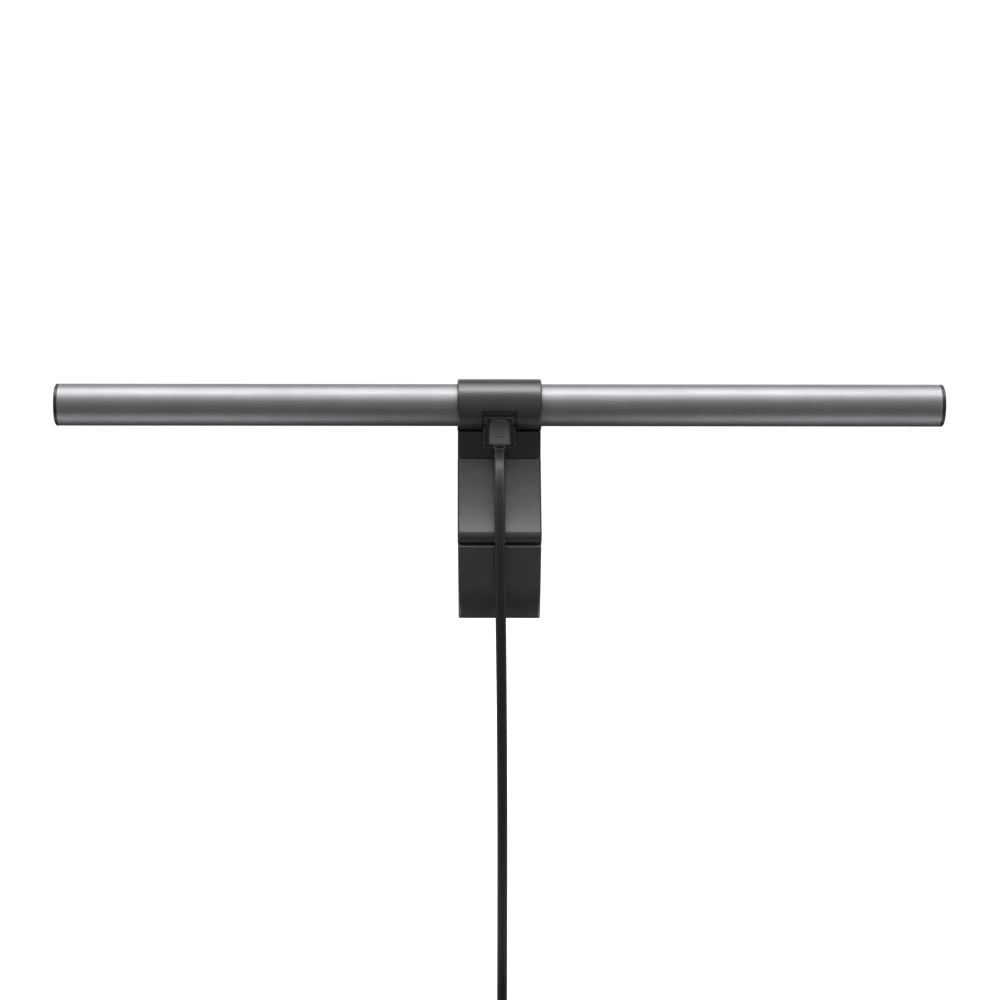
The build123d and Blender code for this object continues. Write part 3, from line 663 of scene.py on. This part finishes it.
# ---------------------------------------------------------------- the coil's strap
STRAP_WALL = 0.75 * MM
STRAP_CORNER = 2.6 * MM
TAIL_SHIFT = 0.2 * MM             # the lapped tail lies this far to one side
TAIL_FROM = 0.1                   # and starts this share of the height above the middle
# the strap's section: (share of the width, share of the wall)
STRAP_HALF = [(-0.5, 0.3), (-0.47, 0.5), (0.0, 0.54), (0.47, 0.5), (0.5, 0.3)]


def make_tie():
    """A hook-and-loop strap round the coil, with its tail lapped over the top."""
    low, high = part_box("cord_tie")
    middle = (low + high) / 2
    wall = STRAP_WALL
    width = high.x - low.x
    outline = rounded_rectangle(high.y - low.y - wall, high.z - low.z - wall, STRAP_CORNER, 8)

    def section(path, i, lift, shift, closed):
        """The strap's section at one point of its side path: thin, with softened edges."""
        before = path[i - 1] if closed or i > 0 else path[i]
        after = path[(i + 1) % len(path)] if closed or i < len(path) - 1 else path[i]
        along = Vector((after[0] - before[0], after[1] - before[1])).normalized()
        outward = Vector((along.y, -along.x))
        ring = []
        for across, level in STRAP_HALF + [(x, -y) for x, y in reversed(STRAP_HALF)]:
            move = outward * (level * wall + lift)
            place = Vector((across * width + shift, path[i][0] + move.x, path[i][1] + move.y))
            ring.append(middle + place)
        return ring

    loop_rings = [section(outline, i, 0.0, 0.0, True) for i in range(len(outline))]
    vertices, faces = loft(loop_rings, close_ends=False)
    count, first = len(loop_rings[0]), (len(loop_rings) - 1) * len(loop_rings[0])
    for j in range(count):
        k = (j + 1) % count
        faces.append((first + j, first + k, k, j))
    lapped = [point for point in outline if point[1] > TAIL_FROM * (high.z - low.z)]
    tail_rings = [section(lapped, i, wall, TAIL_SHIFT, False) for i in range(len(lapped))]
    parts = join_parts([(vertices, faces), loft(tail_rings)])
    tie = add_piece("coil_strap", *parts, "clip", "tie_fabric")
    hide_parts("cord_tie")
    return tie


# ---------------------------------------------------------------- pads
PAD_RIM, PAD_RECESS = 0.9 * MM, 0.22 * MM
PAD_SOFT = 0.18 * MM              # rounding of the pad's edges
RIB_WIDTH = 0.9 * MM
RIB_SET_IN = 1.2 * MM             # the ribs stop short of the rim by half of this at each end
RIB_ROOT = 0.1 * MM               # and start this far under the recess


def make_pad(node, body, axes, corner, ribs):
    """A soft pad in place of its plain CAD solid: a rimmed slab with grip ribs.

    axes are the indices of the pad's width, its height and its thickness; the last has the sign
    of the way that the pad faces."""
    low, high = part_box(node)
    across, upward, (through, sign) = axes
    size = high - low
    thick = size[through]
    base = low if sign > 0 else high

    def place(u, v, w):
        point = (low + high) / 2
        point[across] += u
        point[upward] += v
        point[through] = base[through] + sign * w
        return point

    rim, recess, soft = PAD_RIM, PAD_RECESS, PAD_SOFT
    layers = [
        (soft, 0.0), (0.0, soft), (0.0, thick - 2 * soft), (soft * 0.4, thick - 0.6 * soft),
        (soft, thick), (rim, thick), (rim + soft, thick - recess),
    ]
    parts = [layered_slab(place, size[across], size[upward], corner, layers)]
    inner = size[across] - 2 * (rim + soft) - RIB_SET_IN
    rib_area = size[upward] - 2 * (rim + soft)
    pitch = rib_area / ribs
    for rib in range(ribs):
        middle = -rib_area / 2 + pitch * (rib + 0.5)
        side = abs(middle) / (size[upward] / 2)
        length = inner - (2 * corner if side > 0.7 else 0)

        def rib_place(u, v, w, shift=middle):
            return place(u, v + shift, w)

        rib_layers = [
            (0.0, thick - recess - RIB_ROOT), (0.0, thick - 0.1 * MM), (0.15 * MM, thick),
        ]
        width = min(RIB_WIDTH, 0.5 * pitch)
        parts.append(layered_slab(rib_place, length, width, width / 2 - 0.01 * MM, rib_layers))
    pad = add_piece(node + "_grip", *join_parts(parts), body, "soft_pad")
    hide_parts(node)


# ---------------------------------------------------------------- touch panel marks
MARK_LIFT, MARK_THICKNESS = 0.01 * MM, 0.05 * MM
MARK_ANGLE = math.radians(203.0)      # round the sleeve, from straight down
MARK_LINE = 0.17 * MM                 # half the width of a mark's straight lines
OUTER_MARK, INNER_MARK = 11 * MM, 4 * MM
RING = (1.25 * MM, 0.92 * MM)


def make_marks():
    """Four plain marks on the touch panel: on, dimmer, brighter and warmth."""
    low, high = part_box("sleeve")
    radius = high.z - AXIS.z

    def place(u, v, w):
        angle = MARK_ANGLE + v / radius
        reach = radius + MARK_LIFT + w
        return AXIS + Vector((u, -reach * math.sin(angle), -reach * math.cos(angle)))

    def bar(cu, cv, half_u, half_v):
        corners = [(-half_u, -half_v), (half_u, -half_v), (half_u, half_v), (-half_u, half_v)]
        rings = [
            [place(cu + u, cv + v, level) for u, v in corners]
            for level in (-2 * MARK_THICKNESS, MARK_THICKNESS)
        ]
        return loft(rings)

    def arc(cu, cv, outer, inner, start, end, steps=28):
        rings = []
        for step in range(steps + 1):
            angle = math.radians(start + (end - start) * step / steps)
            du, dv = math.cos(angle), math.sin(angle)
            rings.append([
                place(cu + r * du, cv + r * dv, level)
                for r, level in (
                    (inner, -2 * MARK_THICKNESS), (outer, -2 * MARK_THICKNESS),
                    (outer, MARK_THICKNESS), (inner, MARK_THICKNESS),
                )
            ])
        return loft(rings)

    line = MARK_LINE
    parts = [
        arc(-OUTER_MARK, 0, *RING, 120, 420),
        bar(-OUTER_MARK, -0.9 * MM, line, 0.75 * MM),
        bar(-INNER_MARK, 0, 1.0 * MM, line),
        bar(INNER_MARK, 0, 1.0 * MM, line),
        bar(INNER_MARK, 0, line, 1.0 * MM),
        arc(OUTER_MARK, 0, *RING, 0, 360),
        arc(OUTER_MARK, 0, 0.55 * MM, 0.05 * MM, 90, 270),
    ]
    marks = add_piece("touch_marks", *join_parts(parts), "clip", "white_plastic", smooth=False)
    marks.data.materials.clear()
    marks.data.materials.append(mark_print())


# ---------------------------------------------------------------- floor and light
FLOOR_RADIUS = 25.0
FLOOR_CLEARANCE = 0.05 * MM           # between the cord and the desk top
FLOOR_NEAR, FLOOR_FAR = 0.35, 1.1     # the floor is brightened for the eye between these distances
FLOOR_GLOW = (0.80, 1.03)             # by this much there
FLOOR_BOUNCE = 0.02                   # how much light the desk throws back on the object
ROOM_LIGHT = 0.04                     # brightness of the surround for the object
SURROUND_WHITE = 1.1                  # and for the eye

# lights that run along the lamp: (name, elevation seen from the lamp, distance, angular width,
# radiance, x at the ends). Elevations run from the camera's side over the top.
LIGHTS = [
    ("key_strip", 78.0, 1.0, 12.0, 8.3, -1.1, 1.1),
    ("key_softbox", 86.5, 1.0, 43.0, 3.3, -1.1, 1.1),
    ("rear_fill", 30.0, 1.0, 60.0, 0.42, -1.1, 1.1),
    ("low_fill", -20.0, 0.55, 36.0, 0.25, -1.1, 1.1),
    ("front_fill", 168.0, 1.0, 44.0, 1.3, -1.1, 1.1),
    ("desk_bounce_left", -74.0, 0.348, 24.0, 2.4, -1.1, -0.07),
    ("desk_bounce_right", -74.0, 0.348, 24.0, 2.4, 0.07, 1.1),
]


def make_floor():
    """A plain pale desk top that runs out of sight."""
    height = at(0, 0, DESK_DROP).z - FLOOR_CLEARANCE
    steps = 96
    ring = []
    for step in range(steps):
        angle = 2 * math.pi * step / steps
        ring.append((FLOOR_RADIUS * math.cos(angle), FLOOR_RADIUS * math.sin(angle), height))
    mesh = bpy.data.meshes.new("floor")
    mesh.from_pydata(ring, [], [tuple(range(steps))])
    floor = bpy.data.objects.new("floor", mesh)
    bpy.context.scene.collection.objects.link(floor)
    finish = Finish("floor", specular=0.2)
    mottled(finish, 0.80, 0.01, 0.0, 8.0)
    finish.roughness(finish.noise(40.0), 0.7, 0.8)
    lamp = finish.node("ShaderNodeEmission")
    distance = finish.node("ShaderNodeVectorMath", operation="LENGTH")
    glow = finish.node("ShaderNodeMapRange")
    glow.inputs["From Min"].default_value = FLOOR_NEAR
    glow.inputs["From Max"].default_value = FLOOR_FAR
    glow.inputs["To Min"].default_value = FLOOR_GLOW[0]
    glow.inputs["To Max"].default_value = FLOOR_GLOW[1]
    finish.tree.links.new(finish.coordinates, distance.inputs[0])
    finish.tree.links.new(distance.outputs["Value"], glow.inputs["Value"])
    finish.tree.links.new(glow.outputs["Result"], lamp.inputs["Strength"])
    both = finish.node("ShaderNodeAddShader")
    choice = finish.node("ShaderNodeMixShader")
    rays = finish.node("ShaderNodeLightPath")
    bounce = finish.node("ShaderNodeBsdfDiffuse")
    bounce.inputs["Color"].default_value = (FLOOR_BOUNCE, FLOOR_BOUNCE, FLOOR_BOUNCE, 1.0)
    output = finish.tree.nodes["Material Output"]
    finish.tree.links.new(finish.shader.outputs["BSDF"], both.inputs[0])
    finish.tree.links.new(lamp.outputs["Emission"], both.inputs[1])
    finish.tree.links.new(rays.outputs["Is Camera Ray"], choice.inputs["Fac"])
    finish.tree.links.new(bounce.outputs["BSDF"], choice.inputs[1])
    finish.tree.links.new(both.outputs["Shader"], choice.inputs[2])
    finish.tree.links.new(choice.outputs["Shader"], output.inputs["Surface"])
    mesh.materials.append(finish.material)


def make_light(name, elevation, distance, width, radiance, x0, x1):
    """A soft rectangular light that faces the lamp's axis."""
    data = bpy.data.lights.new(name, "AREA")
    data.shape = "RECTANGLE"
    data.size = x1 - x0
    data.size_y = 2 * distance * math.tan(math.radians(width / 2))
    data.energy = radiance * math.pi * data.size * data.size_y
    light = bpy.data.objects.new(name, data)
    angle = math.radians(elevation)
    away = Vector((0, -math.cos(angle), math.sin(angle)))
    light.location = AXIS + Vector(((x0 + x1) / 2, 0, 0)) + distance * away
    light.rotation_mode = "QUATERNION"
    light.rotation_quaternion = (-away).to_track_quat("-Z", "Y")
    light.visible_camera = False
    bpy.context.scene.collection.objects.link(light)


def make_world():
    """A white surround for the eye that lights the object only dimly."""
    world = bpy.data.worlds.new("studio")
    bpy.context.scene.world = world
    world.use_nodes = True
    tree = world.node_tree
    room = tree.nodes["Background"]
    room.inputs["Color"].default_value = (0.97, 0.98, 1.0, 1.0)
    room.inputs["Strength"].default_value = ROOM_LIGHT
    white = tree.nodes.new("ShaderNodeBackground")
    white.inputs["Color"].default_value = (1.0, 1.0, 1.0, 1.0)
    white.inputs["Strength"].default_value = SURROUND_WHITE
    rays = tree.nodes.new("ShaderNodeLightPath")
    choice = tree.nodes.new("ShaderNodeMixShader")
    tree.links.new(rays.outputs["Is Camera Ray"], choice.inputs["Fac"])
    tree.links.new(room.outputs["Background"], choice.inputs[1])
    tree.links.new(white.outputs["Background"], choice.inputs[2])
    tree.links.new(choice.outputs["Shader"], tree.nodes["World Output"].inputs["Surface"])


def make_studio():
    """Floor, lights and surround."""
    bpy.context.scene.view_settings.view_transform = "Standard"
    make_floor()
    for light in LIGHTS:
        make_light(*light)
    make_world()


# ---------------------------------------------------------------- everything
make_camera()
finish_cad_nodes()
cord, cord_line = make_cord()
tie = make_tie()
make_pad("seat_pad", "clip", (0, 1, (2, -1)), 1.2 * MM, 4)
make_pad("lip_pad", "clip", (0, 2, (1, -1)), 2.5 * MM, 6)
make_pad("rear_pad", "arm", (0, 2, (1, 1)), 3.0 * MM, 12)
make_marks()
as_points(cord_line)
make_studio()
